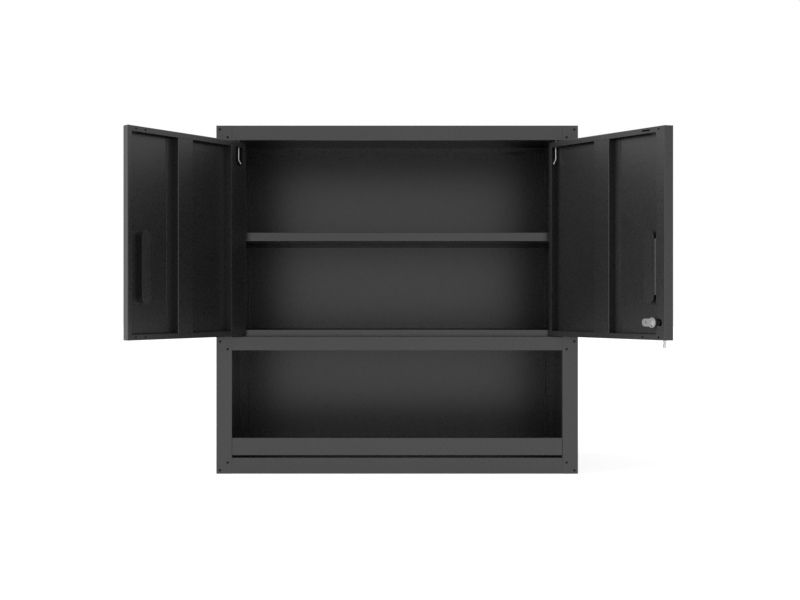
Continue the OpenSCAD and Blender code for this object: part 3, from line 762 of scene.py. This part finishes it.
def lock_barrel():
    """A flanged barrel with a fine thread cut along its body; the body past the head is darkened as painted
    shade.
    """
    head_r = BARREL_R + 2.5
    core = turned([(BORE_R, BARREL_HEAD), (head_r - 0.8, BARREL_HEAD), (head_r - 0.2, BARREL_HEAD + 0.5),
                   (head_r, BARREL_HEAD + 1.1), (head_r, 0), (BARREL_R, 0), (BARREL_R, THREAD_START - 0.4),
                   (BARREL_CORE_R, THREAD_START), (BARREL_CORE_R, BARREL_END - 0.5),
                   (BARREL_CORE_R - 0.4, BARREL_END), (BORE_R, BARREL_END)], closed=True)
    long = BARREL_END - THREAD_START - 1.4
    ridge = grown(WOUND, [(0, 0, 0)], {"Coil radius": BARREL_CORE_R, "Turns": long / THREAD_PITCH,
                                       "Coil height": long, "Wire radius": BARREL_R - BARREL_CORE_R,
                                       "Wire sides": 6}, "lock_nickel")
    ridge.transform(Matrix.Translation((0, 0, THREAD_START + 0.6)))
    mesh = joined([core, ridge])
    # Faces past the head take the near-black metal: painted shade for the notch round the barrel.
    inside = [f.index for f in mesh.polygons if f.center.z > THREAD_START - 0.5]
    piece = stand_in(settle(mesh, door_place("right") @ through_door(LOCK_S, LOCK_Z)), "lock_barrel")
    piece.data.materials.append(THREAD_PAINTED_SHADE)
    for index in inside:
        piece.data.polygons[index].material_index = 1


def key_outline(blade_from, blade_to, notched):
    """A key's side view: round bow, shoulder, and a blade with a cut edge and a pointed tip."""
    points = []
    start = math.asin(BLADE_HALF / BOW_R)
    for k in range(41):
        a = start + (2 * math.pi - 2 * start) * k / 40
        points.append((BOW_R * math.cos(a), BOW_R * math.sin(a)))
    points.append((blade_to - 2.5, -BLADE_HALF))
    points.append((blade_to, -0.8))
    points.append((blade_to - 1.6, BLADE_HALF))
    for place, depth in reversed(notched):
        x = blade_from + place
        if x + 1.6 < blade_to - 1.8:
            points += [(x + 1.3, BLADE_HALF), (x + 0.4, BLADE_HALF - depth), (x - 0.4, BLADE_HALF - depth),
                       (x - 1.3, BLADE_HALF)]
    return points


def flat_part(outline, holes, thick, ease=0.15):
    """A flat part with eased edges, from a filled outline and its holes."""
    curve = bpy.data.curves.new("outline", "CURVE")
    curve.dimensions = "2D"
    curve.fill_mode = "BOTH"
    curve.extrude = thick / 2 - ease
    curve.bevel_depth = ease
    curve.bevel_resolution = 1
    curve.offset = -ease
    for loop in [outline] + holes:
        spline = curve.splines.new("POLY")
        spline.points.add(len(loop) - 1)
        for point, (x, y) in zip(spline.points, loop):
            point.co = (x, y, 0, 1)
        spline.use_cyclic_u = True
    holder = bpy.data.objects.new("outline", curve)
    bpy.context.scene.collection.objects.link(holder)
    depsgraph = bpy.context.evaluated_depsgraph_get()
    mesh = bpy.data.meshes.new_from_object(holder.evaluated_get(depsgraph), depsgraph=depsgraph)
    bpy.data.objects.remove(holder)
    work = bmesh.new()
    work.from_mesh(mesh)
    bpy.data.meshes.remove(mesh)
    bmesh.ops.remove_doubles(work, verts=work.verts, dist=0.005)
    return mesh_from(work, 30)


def ring_of(radius, steps=24):
    """Points of a circle."""
    return [(radius * math.cos(2 * math.pi * k / steps), radius * math.sin(2 * math.pi * k / steps))
            for k in range(steps)]


def flat_key(blade_to, ahead, up, at):
    """A key as a flat part: its blade runs along ahead, its thickness along the door."""
    mesh = flat_part(key_outline(BOW_R - 0.5, blade_to, BITTING), [ring_of(BOW_HOLE_R)], KEY_THICK)
    across = Vector(ahead).cross(Vector(up))
    place = Matrix((ahead, up, across)).transposed().to_4x4()
    place.translation = at
    return settle(mesh, door_place("right") @ place)


def keys_and_ring():
    """The key in the lock, the split ring in its bow, and the spare that hangs from the ring."""
    middle_t = KEY_T - PIVOT_D
    stand_in(flat_key(27.0, (0, 1, 0), (0, 0, 1), (LOCK_S, middle_t, LOCK_Z)), "key")
    low = LOCK_Z - 2 * RING_R
    spare_tip = low - (LOCK_Z - 52.8)
    stand_in(flat_key(spare_tip, (0, 0, -1), (0, 1, 0), (LOCK_S, middle_t, low)), "spare_key")
    ring = grown(WOUND, [(0, 0, 0)], {"Coil radius": RING_R, "Turns": 2.0, "Coil height": 2 * RING_WIRE_R,
                                      "Wire radius": RING_WIRE_R, "Wire sides": 12}, "key_nickel")
    ring.transform(Matrix.Translation((0, 0, -RING_WIRE_R)))
    stand = Matrix(((1, 0, 0, LOCK_S), (0, 0, -1, middle_t), (0, 1, 0, LOCK_Z - RING_R), (0, 0, 0, 1)))
    stand_in(settle(ring, door_place("right") @ stand), "key_ring")


lock_barrel()
keys_and_ring()

# ---------------------------------------------------------------- camera, floor and light

PHOTO_W = 800
FOCAL_PX = 1314.0
MIDDLE_PX = (397.17, 296.24)
EYE_TO_FRONT = 2.905
EYE_Z = 0.3926
FRONT_Y = -0.22


def photo_camera():
    """Square to the cabinet's front, a little over its middle height."""
    data = bpy.data.cameras.new("photo_camera")
    data.sensor_width = 36
    data.lens = 36 * FOCAL_PX / PHOTO_W
    data.shift_x = (PHOTO_W / 2 - MIDDLE_PX[0]) / PHOTO_W
    data.shift_y = (MIDDLE_PX[1] - 300) / PHOTO_W
    camera = bpy.data.objects.new("photo_camera", data)
    camera.location = (0, FRONT_Y - EYE_TO_FRONT, EYE_Z)
    camera.rotation_euler = (math.radians(90), 0, 0)
    bpy.context.scene.collection.objects.link(camera)
    bpy.context.scene.camera = camera


def seen(tree, path):
    """1 for rays from the camera, a gloss or a glass; 0 for the light itself."""
    total = path.outputs["Is Camera Ray"]
    for ray in ("Is Glossy Ray", "Is Transmission Ray"):
        add = tree.nodes.new("ShaderNodeMath")
        add.use_clamp = True
        tree.links.new(total, add.inputs[0])
        tree.links.new(path.outputs[ray], add.inputs[1])
        total = add.outputs[0]
    return total


def pale_floor():
    """A white floor that still takes the cabinet's shadow."""
    mesh = bpy.data.meshes.new("floor")
    half = 14.0
    mesh.from_pydata([(-half, -half, 0), (half, -half, 0), (half, half, 0), (-half, half, 0)], [],
                     [(0, 1, 2, 3)])
    floor = bpy.data.objects.new("floor", mesh)
    bpy.context.scene.collection.objects.link(floor)
    mat, tree, bsdf = shader("floor_white")
    bsdf.inputs["Base Color"].default_value = (0.8, 0.8, 0.8, 1)
    bsdf.inputs["Roughness"].default_value = 0.9
    bsdf.inputs["Specular IOR Level"].default_value = 0.0
    bsdf.inputs["Emission Color"].default_value = (1, 1, 1, 1)
    path = tree.nodes.new("ShaderNodeLightPath")
    glow = tree.nodes.new("ShaderNodeMath")
    glow.operation = "MULTIPLY"
    glow.inputs[1].default_value = 0.75
    tree.links.new(seen(tree, path), glow.inputs[0])
    tree.links.new(glow.outputs[0], bsdf.inputs["Emission Strength"])
    floor.data.materials.append(mat)


def studio_world(level):
    """A plain white surround, and the even light that comes from it."""
    world = bpy.data.worlds.new("studio")
    bpy.context.scene.world = world
    world.use_nodes = True
    tree = world.node_tree
    light = tree.nodes["Background"]
    light.inputs["Color"].default_value = (1, 1, 1, 1)
    light.inputs["Strength"].default_value = level
    shown = tree.nodes.new("ShaderNodeBackground")
    shown.inputs["Color"].default_value = (1, 1, 1, 1)
    shown.inputs["Strength"].default_value = 1.0
    mix = tree.nodes.new("ShaderNodeMixShader")
    path = tree.nodes.new("ShaderNodeLightPath")
    tree.links.new(seen(tree, path), mix.inputs["Fac"])
    tree.links.new(light.outputs[0], mix.inputs[1])
    tree.links.new(shown.outputs[0], mix.inputs[2])
    tree.links.new(mix.outputs[0], tree.nodes["World Output"].inputs["Surface"])


def soft_sun(name, azimuth, height, spread_deg, level):
    """A broad even light. Azimuth is 0 at the front and 90 on the right; level 1 renders white as white."""
    data = bpy.data.lights.new(name, "SUN")
    data.angle = math.radians(spread_deg)
    data.energy = level * math.pi
    lamp = bpy.data.objects.new(name, data)
    a = math.radians(azimuth)
    e = math.radians(height)
    toward = Vector((math.sin(a) * math.cos(e), -math.cos(a) * math.cos(e), math.sin(e)))
    lamp.rotation_euler = toward.to_track_quat("Z", "Y").to_euler()
    bpy.context.scene.collection.objects.link(lamp)
    return lamp


photo_camera()
pale_floor()
studio_world(0.4)
side_light = soft_sun("side_light", -77, 8, 40, 0.9)
side_light.visible_glossy = False
bpy.context.scene.view_settings.view_transform = "Standard"
